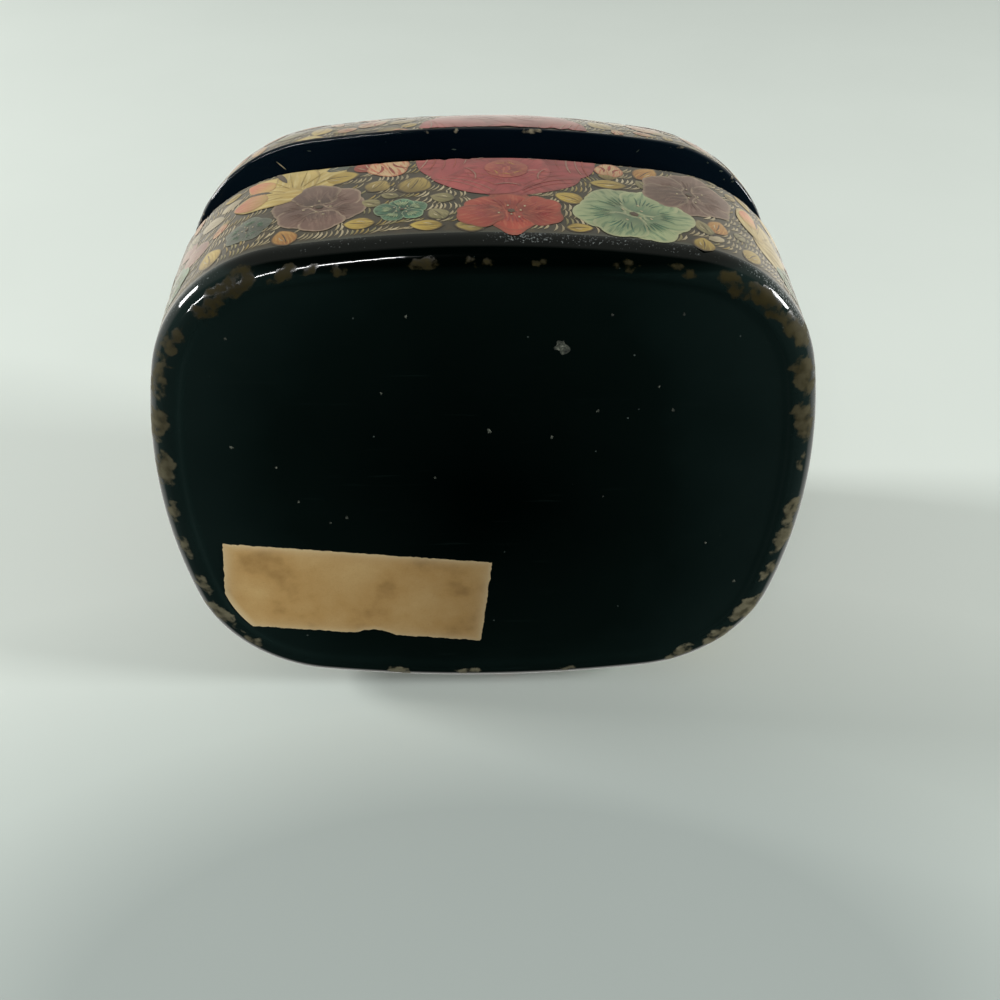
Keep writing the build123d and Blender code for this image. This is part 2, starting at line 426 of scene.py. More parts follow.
def gouache(name, root, body, tip, outline, streak):  # body colour under varnish: streaky, with an outline
    look = brushLook
    material, tree, shader = newMaterial(name + "Gouache", copalVarnish)
    petalMap = addNode(tree, "UVMap", uv_map="petalMap").outputs["UV"]
    parts = addNode(tree, "SeparateXYZ", {0: petalMap})
    length = addNode(tree, "ValToRGB", {0: parts.outputs["X"]},
                     stops=[(0.1, root), (0.5, body), (0.95, tip)])
    tint = addNode(tree, "Attribute", attribute_name="tint")
    shifted = addNode(tree, "VectorMath", {0: tint.outputs["Vector"], 2: petalMap}, {1: look["offset"]},
                      operation="MULTIPLY_ADD")
    stretched = addNode(tree, "Mapping", {"Vector": shifted}, {"Scale": look["stretch"]})
    streaks = addNode(tree, "TexNoise", {"Vector": stretched}, {"Scale": look["streaks"], "Detail": 3.0})
    streakMask = addNode(tree, "MapRange", {0: streaks},
                         {"From Min": 0.48, "From Max": 0.64, "To Max": 0.85})
    streaked = addNode(tree, "Mix", {0: streakMask, colourA: length}, {colourB: fromHex(streak)},
                       data_type="RGBA")
    fromMiddle = addNode(tree, "VectorMath", {0: petalMap}, {1: (0.5, 0.5, 0)}, operation="DISTANCE")
    ragged = addNode(tree, "Math", {0: streaks, 2: fromMiddle}, {1: look["raggedEdge"]},
                     operation="MULTIPLY_ADD")
    rim = addNode(tree, "MapRange", {0: ragged}, {"From Min": 0.47, "From Max": 0.525, "To Max": 0.8})
    outlined = addNode(tree, "Mix", {0: rim, colourA: streaked}, {colourB: fromHex(outline)},
                       data_type="RGBA")
    place = addNode(tree, "TexCoord").outputs["Object"]
    grime = addNode(tree, "TexNoise", {"Vector": place}, {"Scale": perMm(look["grime"]), "Detail": 5.0})
    dirt = addNode(tree, "MapRange", {0: grime}, {"To Min": 0.88, "To Max": 0.38})
    shade = addNode(tree, "Math", {0: tint.outputs["Fac"], 2: dirt}, {1: look["toneSpread"]},
                    operation="MULTIPLY_ADD")
    aged = addNode(tree, "VectorMath", {0: outlined, "Scale": shade}, operation="SCALE")
    gloss = addNode(tree, "MapRange", {0: grime}, {"To Min": 0.22, "To Max": 0.42})
    bump = addNode(tree, "Bump", {"Height": streaks}, {"Strength": 0.2, "Distance": 0.05 * mm})
    join(tree, shader, {"Base Color": aged, "Roughness": gloss, "Normal": bump})
    return material


paperLook = {
    "clean": "c49e62", "light": "d6b57c", "stain": "93713f", "frayed": "e0cba0",
    "blotch": 9.0, "fibre": 0.25,  # fibres are drawn coarser than real ones to show
    "inwardDarkened": (-38.0, 0.0), "brightness": (0.87, 0.51),  # it is darker from its outer end towards the middle
}


def agedPaper():  # cheap rag paper gone tan with glue and age: matt, fibrous and blotched
    look = paperLook
    material, tree, shader = newMaterial("agedGummedPaper",
                                         {"Roughness": 0.85, "Specular IOR Level": 0.2, "IOR": 1.45})
    place = addNode(tree, "TexCoord").outputs["Object"]
    blotch = addNode(tree, "TexNoise", {"Vector": place}, {"Scale": perMm(look["blotch"]), "Detail": 6.0})
    sheet = addNode(tree, "ValToRGB", {0: blotch},
                    stops=[(0.28, look["stain"]), (0.46, look["clean"]), (0.75, look["light"])])
    fibres = addNode(tree, "TexNoise", {"Vector": place},
                     {"Scale": perMm(look["fibre"]), "Detail": 3.0, "Distortion": 1.5})
    fibreMask = addNode(tree, "MapRange", {0: fibres}, {"From Min": 0.5, "From Max": 0.8, "To Max": 0.35})
    fibrous = addNode(tree, "Mix", {0: fibreMask, colourA: sheet}, {colourB: fromHex(look["stain"])},
                      data_type="RGBA")
    rubbed = addNode(tree, "Attribute", attribute_name="rubbed").outputs["Fac"]
    frayed = addNode(tree, "Mix", {0: rubbed, colourA: fibrous}, {colourB: fromHex(look["frayed"])},
                     data_type="RGBA")
    along = addNode(tree, "SeparateXYZ", {0: place}).outputs["X"]
    (darkeningStart, darkeningEnd), (lightest, darkest) = look["inwardDarkened"], look["brightness"]
    inwardDarkening = addNode(tree, "MapRange", {0: along},
                       {"From Min": darkeningStart * mm, "From Max": darkeningEnd * mm,
                        "To Min": lightest, "To Max": darkest})
    inwardDarkened = addNode(tree, "VectorMath", {0: frayed, "Scale": inwardDarkening}, operation="SCALE")
    bump = addNode(tree, "Bump", {"Height": fibres}, {"Strength": 0.35, "Distance": 0.04 * mm})
    join(tree, shader, {"Base Color": inwardDarkened, "Normal": bump})
    return material


pulpLook = {"hollow": "1b1d1d", "broken": "44483f", "crumb": "84867a", "crumbSize": 0.5}


def barePulp():  # torn paper pulp: pale, matt and crumbly where the lacquer has flaked
    look = pulpLook
    material, tree, shader = newMaterial("barePaperPulp", {"Roughness": 0.9, "Specular IOR Level": 0.2})
    place = addNode(tree, "TexCoord").outputs["Object"]
    crumbs = addNode(tree, "TexNoise", {"Vector": place}, {"Scale": perMm(look["crumbSize"]), "Detail": 4.0})
    colour = addNode(tree, "ValToRGB", {0: crumbs},
                     stops=[(0.3, look["hollow"]), (0.52, look["broken"]), (0.7, look["crumb"])])
    bump = addNode(tree, "Bump", {"Height": crumbs}, {"Strength": 0.6, "Distance": 0.1 * mm})
    join(tree, shader, {"Base Color": colour, "Normal": bump})
    return material


lacquerMaterial = blackLacquer("lampBlackLacquer", lacquerLook["underside"], dished=True)
collarMaterial = blackLacquer("inkBlackLacquer", lacquerLook["inside"])
groundMaterial = paintedGround()
paperMaterial = agedPaper()
pulpMaterial = barePulp()
gouacheMaterials = [gouache(name, *colours) for name, colours in gouaches.items()]
print("materials made:", len(bpy.data.materials))


# Shells: one grid wrapped round the box, its rows run along the wall from inside to outside

shellColumns = 480
lacquerSlot, groundSlot = 0, 1
rimSeeds = {"base": 3.1, "lid": 8.4}
footDust = {  # dust caught in the lacquer over the foot, thickest on the right of the front
    "top": 3.2, "even": 0.18, "thick": 0.28, "drift": 0.2, "driftLength": 9.0, "moreRight": 0.1,
    "onLidRim": 0.3, "lidRimTop": 1.2,
}


def dustAt(place):
    dust = footDust
    if place.z > dust["top"]:
        return dust["onLidRim"] if seam < place.z < lowLid.z + dust["lidRimTop"] else 0.0
    drift = noise.noise(Vector((place.x / dust["driftLength"], place.y / dust["driftLength"], 6)))
    thickness = dust["thick"] + dust["drift"] * drift + dust["moreRight"] * smoothStep(-8, 8, place.x)
    return dust["even"] + thickness * smoothStep(0.1, 1.6, place.z)


def wrapShell(rows):  # a row is a function that gives a place and its wear along the rim, and a slot
    bm = bmesh.new()
    bm.loops.layers.uv.new("petalMap")
    rubbed, gritty = bm.verts.layers.float.new("rubbed"), bm.verts.layers.float.new("gritty")
    gaps = len(rows) - 1
    bmesh.ops.create_grid(bm, x_segments=shellColumns, y_segments=gaps, size=1, calc_uvs=True)
    for face in bm.faces:
        face.material_index = rows[math.floor((face.calc_center_median().y + 1) / 2 * gaps)][1]
    for vert in bm.verts:
        along = vert.co.x * girth / 2
        place, vert[rubbed] = rows[round((vert.co.y + 1) / 2 * gaps)][0](along)
        vert[gritty] = dustAt(place)
        vert.co = place * mm
    bmesh.ops.remove_doubles(bm, verts=bm.verts, dist=0.002 * mm)
    bmesh.ops.recalc_face_normals(bm, faces=bm.faces)
    return bm


def lacquered(places):
    return [(place, lacquerSlot) for place in places]


def painted(places):
    return [(place, groundSlot) for place in places]


def flatRow(inset, height, scale=1.0):
    def place(along):
        point, outward = planPoint(along, inset)
        point = point * scale
        point.z = height
        return point, 0.0
    return place


rubs = [  # worn places on the foot and underside, in millimetres: x, y, radius, strength
    (-37.3, -32.2, 4.2, 0.56), (-33.4, -35.4, 4.0, 0.6), (-43.6, -26.5, 3.6, 0.58), (-27.2, -36.6, 2.6, 0.58),
    (-23.6, -37.2, 1.8, 0.5), (-19.4, -37.4, 2.2, 0.5), (-8.0, -38.2, 2.8, 0.49), (-1.0, -38.4, 2.4, 0.47),
    (7.4, -38.3, 1.8, 0.45), (-46.6, -20.0, 3.9, 0.56), (-47.8, -13.0, 4.1, 0.6), (-48.2, -5.0, 4.1, 0.62),
    (-48.2, 3.0, 2.8, 0.55), (-47.6, 10.0, 2.6, 0.55), (-46.2, 17.5, 2.9, 0.57), (-44.0, 24.5, 3.6, 0.61),
    (-39.4, 30.6, 2.8, 0.54), (18.5, -37.8, 2.6, 0.47), (26.5, -37.0, 2.4, 0.48), (33.6, -34.8, 3.2, 0.6),
    (38.6, -32.2, 4.0, 0.62), (43.4, -27.6, 3.8, 0.62), (45.8, -20.4, 4.1, 0.66), (47.0, -12.6, 4.1, 0.66),
    (47.8, -5.4, 2.0, 0.52), (47.8, 3.6, 3.4, 0.58), (47.4, 9.4, 3.5, 0.62), (46.4, 16.0, 2.9, 0.6),
    (43.8, 24.6, 4.0, 0.67), (39.6, 31.0, 3.6, 0.63), (33.6, 34.8, 3.2, 0.6), (-15.0, 38.4, 2.8, 0.56),
    (-3.0, 38.8, 2.6, 0.54), (14.0, 38.6, 2.4, 0.5),
]
rubShape = {"across": 1.25, "along": 0.55, "yWeight": 1.3}  # each is longer along the edge than across it


def wearAt(point):
    wear = 0.0
    for x, y, radius, strength in rubs:
        off, inwards = point.xy - Vector((x, y)), Vector((x, y * rubShape["yWeight"])).normalized()
        across = off.dot(inwards) * rubShape["across"]
        along = off.dot(inwards.orthogonal()) * rubShape["along"]
        wear = max(wear, strength * smoothStep(1.0, 0.2, math.hypot(across, along) / radius))
    return wear


def footRow(inset, height, edge=0.0):
    def place(along):
        point, outward = planPoint(along, inset)
        point.z = height
        return point, max(edge, wearAt(point))
    return place


def nickAt(along, seed):  # chips in a rim's edge, which come in groups
    rough = noise.noise(Vector((along / handWork["nickLength"], seed, 0)))
    where = noise.noise(Vector((along / handWork["nickGroups"], seed + 7.7, 0)))
    return max(0.0, rough + where * handWork["nickGrouping"] - handWork["fewerNicks"])


def nickDepth(nick):
    return min(handWork["nickLimit"], nick) * handWork["nick"]


rimWear = {  # how worn each edge is all along, and how much more so at a nick
    "wall": (0.24, 1.5), "rim": (0.2, 1.4), "lip": (0.1, 0.8),
    "lipRun": 2.6, "lipFloor": 0.12,
}


def edgeWear(kind, nick):
    even, atNicks = rimWear[kind]
    return even + nick * atNicks


def wallRow(up, edge, seed):  # edge is 1 at a rim and 0 a little way off it
    def place(along):
        nick = nickAt(along, seed) * edge
        return wallPoint(along, up, -nickDepth(nick)), edge * edgeWear("wall", nick)
    return place


def rimRow(inset, height, seed, edge):
    def place(along):
        nick = nickAt(along, seed) * edge
        point, outward = planPoint(along, inset + nickDepth(nick))
        point.z = height
        return point, edge * edgeWear("rim", nick)
    return place


baseForm = {
    "floor": 3.55, "cornerFill": 4.0, "footRadius": 3.0, "ring": 1.0, "dish": 0.35, "slope": 0.8,
    "worn": 1.3,  # how far down from the rim its edge is worn
    "wallRows": 22, "footRows": 12,
}


def paintedBase():
    form, seed = baseForm, rimSeeds["base"]
    ring, dish, worn = form["footRadius"] + form["ring"], form["dish"], form["worn"]
    rows = lacquered(flatRow(boreInset + form["cornerFill"], form["floor"], scale)
                     for scale in (0, 0.5, 0.8, 1))
    rows += lacquered(flatRow(boreInset, height)
                      for height in (form["floor"] + form["cornerFill"], 15.0, seam - 0.3))
    rows += lacquered([flatRow(boreInset + 0.05, seam - 0.08), flatRow(boreInset - 0.25, seam)])
    rows += lacquered(rimRow(inset, seam, seed, 0.0) for inset in (2.0, 0.5, -0.4))
    rows += lacquered([rimRow(-0.9, seam, seed, 0.5)]) + painted([rimRow(-1.2, seam, seed, 1.0)])
    rows += painted(wallRow(seam - drop, edge, seed)
                    for drop, edge in ((0.12, 1.0), (0.35, 0.8), (0.6, 0.5), (0.9, 0.25), (worn, 0.0)))
    wallTop, steps = seam - worn, form["wallRows"]
    rows += painted(wallRow(wallTop - (wallTop - form["footRadius"]) * step / steps, 0.0, seed)
                    for step in range(1, steps))
    wallFoot = rimInset * form["footRadius"] / seam
    for step in range(form["footRows"] + 1):  # the rounded foot
        turn = math.pi / 2 * step / form["footRows"]
        inset = wallFoot + (form["footRadius"] - wallFoot) * (1 - math.cos(turn))
        height = form["footRadius"] * (1 - math.sin(turn))
        rows += lacquered([footRow(inset, height, 0.1 * math.sin(2 * turn))])
    rows += lacquered([footRow(form["footRadius"] + 0.5, 0.0), footRow(ring, 0.0)])
    rows += lacquered([footRow(ring + 0.4, dish * 0.5)])
    rows += lacquered(footRow(inset, dish) for inset in (ring + form["slope"], 5.4, 6.1, 6.9, 7.8, 8.8))
    rows += lacquered(flatRow(10.5, dish, scale) for scale in (1, 0.7, 0.4, 0))
    piece = newPiece("paintedBase", wrapShell(rows), [lacquerMaterial, groundMaterial],
                     "base")
    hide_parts("base_shell")


def paintedLid():
    form, seed, rim = lidForm, rimSeeds["lid"], lowLid.z

    def innerRow(turn, scale=1.0):
        def place(along):
            point, outward = planPoint(along, boreInset, form["innerShoulder"] * (1 - math.cos(turn)))
            point = point * scale
            ball = rim + form["innerHeight"] - (point.x ** 2 + point.y ** 2) / (2 * form["crownRadius"])
            point.z = min(ball, rim + form["innerHeight"] * math.sin(turn))
            return point, 0.0
        return place

    def lipRow(turn):  # the rim's outer edge, rounded and lacquered over
        def place(along):
            wave = noise.noise(Vector((along / form["lipRun"], seed, 4)))
            radius = form["lip"] * (1 + form["lipUneven"] * wave)
            point, outward = planPoint(along, rimInset + radius * (1 - math.sin(turn)))
            point.z = rim + radius * (1 - math.cos(turn))
            rough = noise.noise(Vector((along / rimWear["lipRun"], seed, 14))) - rimWear["lipFloor"]
            return point, edgeWear("lip", max(0.0, rough))
        return place

    def shoulderRow(turn, edge=0.0):
        def place(along):
            nick = nickAt(along, seed) * edge
            return shoulderPoint(along, turn, -nickDepth(nick)), edge * edgeWear("wall", nick)
        return place

    def crownRow(scale):
        def place(along):
            point, outward = planPoint(along, rimInset, form["shoulder"])
            return crownPoint(point.x * scale, point.y * scale), 0.0
        return place

    ledgeTurn = math.asin(form["boreDepth"] / form["innerHeight"])
    rows = lacquered(innerRow(math.pi / 2, scale) for scale in (0, 0.3, 0.6, 0.85, 1))
    rows += lacquered(innerRow(ledgeTurn + (math.pi / 2 - ledgeTurn) * step / 10)
                      for step in range(9, -1, -1))
    rows += lacquered(flatRow(boreInset, rim + height) for height in (form["boreDepth"], 8.0, 0.3))
    rows += lacquered([flatRow(boreInset - 0.08, rim + 0.08), flatRow(boreInset - 0.3, rim)])
    rows += lacquered(rimRow(inset, rim, seed, 0.0) for inset in (2.0, 0.8, 0.1))
    rows += lacquered(lipRow(math.radians(angle)) for angle in (0, 15, 30, 45, 60, 75, 90))
    rows += painted(shoulderRow(math.asin(rise / lidHeight), edge)
                    for rise, edge in ((0.55, 0.6), (0.8, 0.3), (1.2, 0.0)))
    firstTurn, steps = form["firstTurn"], form["shoulderRows"]
    rows += painted(shoulderRow(math.radians(firstTurn + (90 - firstTurn) * step / steps))
                    for step in range(1, steps + 1))
    rows += painted(crownRow(scale) for scale in (0.93, 0.85, 0.75, 0.62, 0.48, 0.32, 0.16, 0))
    piece = newPiece("paintedLid", wrapShell(rows), [collarMaterial, groundMaterial], "lid")
    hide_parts("lid_shell")


paintedBase()
paintedLid()

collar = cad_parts["neck_collar"]
collar.data.materials.clear()
collar.data.materials.append(collarMaterial)
print("shells and collar done")


labelSheet = {
    "length": 42.8, "width": 17.5, "turn": 6.0, "middle": (-21.2, 20.6),
    "tear": (3.4, 6.8, 1.1),  # where the far edge is torn: along, length, depth
    "dishInset": 4.95,  # the dish's edge, which wore the corner off
    "fray": 0.16, "curl": 0.05, "thickness": 0.13, "columns": 170, "rows": 70,
}


def faceDown(bm):  # an open sheet under the box shows the side that faces down
    bmesh.ops.recalc_face_normals(bm, faces=bm.faces)
    if sum(face.normal.z * face.calc_area() for face in bm.faces) > 0:
        bmesh.ops.reverse_faces(bm, faces=bm.faces)


def gluedLabel():  # stuck on askew, worn along the foot and torn at one place
    form, dish = labelSheet, baseForm["dish"]
    length, width, (tearAt, tearLength, tearDepth) = form["length"], form["width"], form["tear"]
    spin, middle = Matrix.Rotation(math.radians(form["turn"]), 2), Vector(form["middle"])
    cornerArc = [planPoint(girth * (0.5 + step / 900), form["dishInset"])[0].xy for step in range(225)]
    bm = bmesh.new()
    rubbed = bm.verts.layers.float.new("rubbed")
    bmesh.ops.create_grid(bm, x_segments=form["columns"], y_segments=form["rows"], size=1)
    for vert in bm.verts:
        x, y = vert.co.x * length / 2, vert.co.y * width / 2
        edge = max(abs(vert.co.x) ** 24, abs(vert.co.y) ** 12)
        ragged = noise.noise(Vector((x, y, 2)) * 1.3) + noise.noise(Vector((x, y, 5)) * 4) * 0.7
        fray = edge * form["fray"] * ragged
        fromTear = abs(x - tearAt + noise.noise(Vector((x, 0, 9))) * 0.5) / (tearLength / 2)
        torn = max(0.0, 1 - fromTear) ** 0.6
        y -= tearDepth * torn * smoothStep(width / 2 - 3, width / 2, y)
        spot = spin @ Vector((x * (1 - fray / length * 2), y * (1 - fray / width * 2))) + middle
        worn = 0.0
        if spot.length > 36:  # near the foot's corner
            nearest = min(cornerArc, key=lambda place: (place - spot).length_squared)
            worn = smoothStep(1.6, 0.0, (nearest - spot).length)
            if spot.length > nearest.length:
                spot, worn = nearest, 1.0
        ripple = form["curl"] * (0.5 + noise.noise(Vector((x / 6, y / 6, 4))))
        vert.co = Vector((spot.x, spot.y, dish - form["thickness"] + ripple * 0.4 + edge * 0.03)) * mm
        vert[rubbed] = max(worn * 0.8, edge * 0.75)
    bmesh.ops.remove_doubles(bm, verts=bm.verts, dist=0.02 * mm)
    border = [edge for edge in bm.edges if edge.is_boundary]
    skirt = bmesh.ops.extrude_edge_only(bm, edges=border)
    for vert in [item for item in skirt["geom"] if isinstance(item, bmesh.types.BMVert)]:
        vert.co.z = (dish + 0.01) * mm
    faceDown(bm)
    piece = newPiece("gluedLabel", bm, [paperMaterial], "base")
    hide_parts("paper_label")


gluedLabel()

chips = [  # flakes off the underside down to the pulp: x, y, size in millimetres
    (10.6, -25.5, 2.6), (-11.0, -30.3, 0.52), (17.4, -30.4, 0.45), (27.3, -30.5, 0.45), (-15.0, -18.0, 0.45),
    (0.6, -11.5, 0.74), (-7.7, -3.0, 0.38), (-24.3, 5.6, 0.45), (-21.6, 4.6, 0.52), (-37.6, -8.8, 0.67),
    (24.9, -18.9, 0.38), (27.4, -14.9, 0.52), (16.3, -14.8, 0.6), (9.8, -10.2, 0.6), (18.1, 0.9, 0.38),
    (35.2, 10.4, 0.45), (40.9, 18.6, 0.6), (-31.5, -5.1, 0.38), (-28.8, 1.4, 0.45), (-36.0, -27.0, 0.52),
]
chipForm = {"segments": 22, "ragged": 1.1, "mound": 0.025, "clear": 0.012, "crumble": 0.02, "crumb": 0.35}


def flakedChips():
    form, dish = chipForm, baseForm["dish"]
    bm = bmesh.new()
    for x, y, size in chips:
        flake = bmesh.ops.create_circle(bm, cap_ends=True, cap_tris=True, segments=form["segments"],
                                        radius=size / 2)["verts"]
        for vert in flake:
            away = vert.co.length / (size / 2)
            shape = noise.noise(Vector((vert.co.x / size * 2.6, vert.co.y / size * 2.6, x)))
            ragged = 1 + form["ragged"] * shape
            depth = form["mound"] * (1 - away) + form["clear"]
            across, along = vert.co.x * ragged * 0.75, vert.co.y * ragged * 0.85
            vert.co = Vector((x + across, y + along, dish - depth)) * mm
    bmesh.ops.subdivide_edges(bm, edges=bm.edges, cuts=2, use_grid_fill=True)
    for vert in bm.verts:
        vert.co.z += form["crumble"] * mm * noise.noise(vert.co / (form["crumb"] * mm))
    faceDown(bm)
    newPiece("flakedChips", bm, [pulpMaterial], "base")


flakedChips()
print("label and chips done")


# The painting: dabs of body colour laid out flat, as on the closed box, then wrapped round it

dabLook = {
    "lift": 0.03, "layer": 0.012, "dome": 0.02,  # how far the paint stands up
    "facet": 0.75, "mostFacets": 28,
    "swell": 0.09, "swellTurns": 1.4,  # no dab is quite even
    "cell": 0.7,  # of the grid that tells painted ground from bare
}
brush = random.Random(31)
brushSheet = bpy.data.meshes.new("brushSheet")


def newCanvas(pinch):  # pinch gives how much shorter the way round is at a height than along the rim
    bm = bmesh.new()
    bm.loops.layers.uv.new("petalMap")
    bm.verts.layers.float.new("tint")
    return {"bm": bm, "cells": set(), "pinch": pinch}


def wallPinch(up):
    if up <= seam:
        return 1.0
    drawnIn = lidForm["shoulder"] * (1 - math.cos(shoulderTurn(up - seam)))
    return 1 - drawnIn / (footLength / 4 + footWidth / 4)


def cellsUnder(canvas, x, y, length, width, turn):  # cells of the flat layout that an ellipse covers
    cell, pinch = dabLook["cell"], canvas["pinch"](y)
    cosine, sine = math.cos(turn), math.sin(turn)
    reach = max(length, width) / 2
    columns, rows = math.ceil(reach / cell / pinch), math.ceil(reach / cell)
    found = set()
    for column in range(-columns, columns + 1):
        for row in range(-rows, rows + 1):
            dx, dy = column * cell * pinch, row * cell
            if ((dx * cosine + dy * sine) / length) ** 2 + ((dy * cosine - dx * sine) / width) ** 2 <= 0.25:
                found.add((math.floor((x + column * cell) % girth / cell), math.floor((y + dy) / cell)))
    return found


def dab(canvas, paint, x, y, length, width, turn=0.0,
        layer=0, taper=0.0, point=0.0, bend=0.0, lobes=0, depth=0.0):
    look = dabLook
    bm = bmesh.new()
    petalMap = bm.loops.layers.uv.new("petalMap")
    tint = bm.verts.layers.float.new("tint")
    columns = min(look["mostFacets"], max(3, round(length / look["facet"])))
    rows = min(look["mostFacets"], max(2, round(width / look["facet"]))) if width > 0.5 else 1
    bmesh.ops.create_grid(bm, x_segments=columns, y_segments=rows, size=1)
    own, pinch, spin = brush.uniform(-1, 1), canvas["pinch"](y), Matrix.Rotation(turn, 2)
    for vert in bm.verts:
        along, across = vert.co.xy
        if rows > 1:  # a square drawn in to a disc
            along, across = along * math.sqrt(1 - across ** 2 / 2), across * math.sqrt(1 - along ** 2 / 2)
        for loop in vert.link_loops:
            loop[petalMap].uv = (0.5 + along / 2, 0.5 + across / 2)
        angle, away = math.atan2(across, along), min(1.0, math.hypot(along, across))
        rim = Vector((math.cos(angle) * look["swellTurns"], math.sin(angle) * look["swellTurns"], own * 50))
        swell = 1 + look["swell"] * noise.noise(rim)
        swell *= 1 - depth * (1 - abs(math.cos(lobes * angle / 2)))
        across *= (1 + taper * along) * max(0.0, 1 - along ** 2) ** point
        spot = spin @ Vector((along * length, across * width + bend * along ** 2 * length)) * swell / 2
        lift = look["lift"] + layer * look["layer"] + look["dome"] * (1 - away ** 2)
        vert.co = (x + spot.x / pinch, y + spot.y, lift)
        vert[tint] = own
    for face in bm.faces:
        face.material_index = gouacheNames.index(paint)
    bm.to_mesh(brushSheet)
    bm.free()
    canvas["bm"].from_mesh(brushSheet)
    canvas["cells"] |= cellsUnder(canvas, x, y, length, width, turn)


def line(canvas, paint, x, y, length, width, turn, layer, bend=0.0):  # a fine stroke, drawn out at both ends
    dab(canvas, paint, x, y, length, width, turn, layer, point=0.4, bend=bend)


def around(canvas, x, y, turn, across, up):  # a place off a flower's middle
    return x + math.cos(turn) * across / canvas["pinch"](y), y + math.sin(turn) * up


def leaf(canvas, x, y, width, height, turn, paint):
    side = brush.choice((-1, 1))
    shadeX, shadeY = around(canvas, x, y, turn + side * math.pi / 2, 0.16, 0.16)
    dab(canvas, "umber", shadeX, shadeY, width * 1.08, height * 1.06, turn, point=0.24, taper=-0.15)
    dab(canvas, paint, x, y, width, height, turn, layer=1, point=0.24, taper=-0.15, bend=side * 0.05)
    line(canvas, "umber", x, y, width * 0.7, 0.17, turn, layer=3, bend=side * 0.1)
    tipX, tipY = around(canvas, x, y, turn + side * 1.9, height * 0.2, height * 0.2)
    line(canvas, "chalk", tipX, tipY, width * 0.34, 0.2, turn + side * 0.25, layer=3, bend=-side * 0.2)


def petal(canvas, x, y, width, height, turn, paint):
    dab(canvas, paint, x, y, width, height, turn, layer=1, taper=0.15, point=0.05)
    for side in (-0.3, 0.3):
        midX, midY = around(canvas, x, y, turn + side * 5, height * 0.16, height * 0.16)
        line(canvas, "chalk", midX, midY, width * 0.5, 0.15, turn + side, layer=3, bend=side * 0.3)


def bud(canvas, x, y, width, height, turn, paint):
    rootX, rootY = around(canvas, x, y, turn, -width * 0.36, -width * 0.36)
    dab(canvas, "ochreLeaf", rootX, rootY, width * 0.75, height * 0.7, turn, layer=1, point=0.2)
    dab(canvas, paint, x, y, width, height, turn, layer=2, lobes=3, depth=0.14)
    for side in (-1, 0, 1):
        midX, midY = around(canvas, x, y, turn + side * 1.3, width * 0.18, height * 0.18)
        line(canvas, "scarlet", midX, midY, width * 0.5, min(0.45, height * 0.1), turn + side * 0.5,
             layer=4, bend=side * 0.4)


veinPaints = {"scarlet": "rose", "sage": "teal", "plum": "plum", "slate": "teal", "teal": "sage",
              "petalPink": "rose", "rose": "petalPink", "lily": "marigold", "marigold": "umber"}


def posy(canvas, x, y, width, height, turn, paint):  # a scalloped flower of overlapping lobes
    size = (width + height) / 2
    count = 5 if size < 9 else 6
    veinWidth = 1.8 if paint in ("sage", "teal") else 1.0
    dab(canvas, paint, x, y, width * 0.8, height * 0.8, turn, lobes=count, depth=0.08)
    for number in range(count):
        angle = turn + math.tau * (number + brush.uniform(-0.12, 0.12)) / count
        reach, swell = brush.uniform(0.26, 0.3), brush.uniform(0.85, 1.05)
        lobeX, lobeY = around(canvas, x, y, angle, width * reach, height * reach)
        dab(canvas, paint, lobeX, lobeY, size * 0.5 * swell, size * 0.54 * swell, angle,
            layer=1 + number % 3 + number // (count - 1), taper=0.1, lobes=5, depth=0.13)
        for side in (-0.6, -0.36, -0.12, 0.12, 0.36, 0.6):
            veinX, veinY = around(canvas, x, y, angle + side * 0.5, width * 0.28, height * 0.28)
            line(canvas, veinPaints[paint], veinX, veinY, size * brush.uniform(0.1, 0.24),
                 brush.uniform(0.1, 0.18) * veinWidth, angle + side * 0.8, layer=6, bend=side * 0.2)
    dab(canvas, "umber", x, y, size * 0.1, size * 0.08, turn, layer=6, lobes=5, depth=0.2)
    for number in range(6):  # stamens
        reach = size * (0.08 + 0.02 * number)
        dotX, dotY = around(canvas, x, y, turn + number * 1.7, reach, reach)
        dab(canvas, "chalk", dotX, dotY, size * 0.03, 0.26, turn, layer=7)


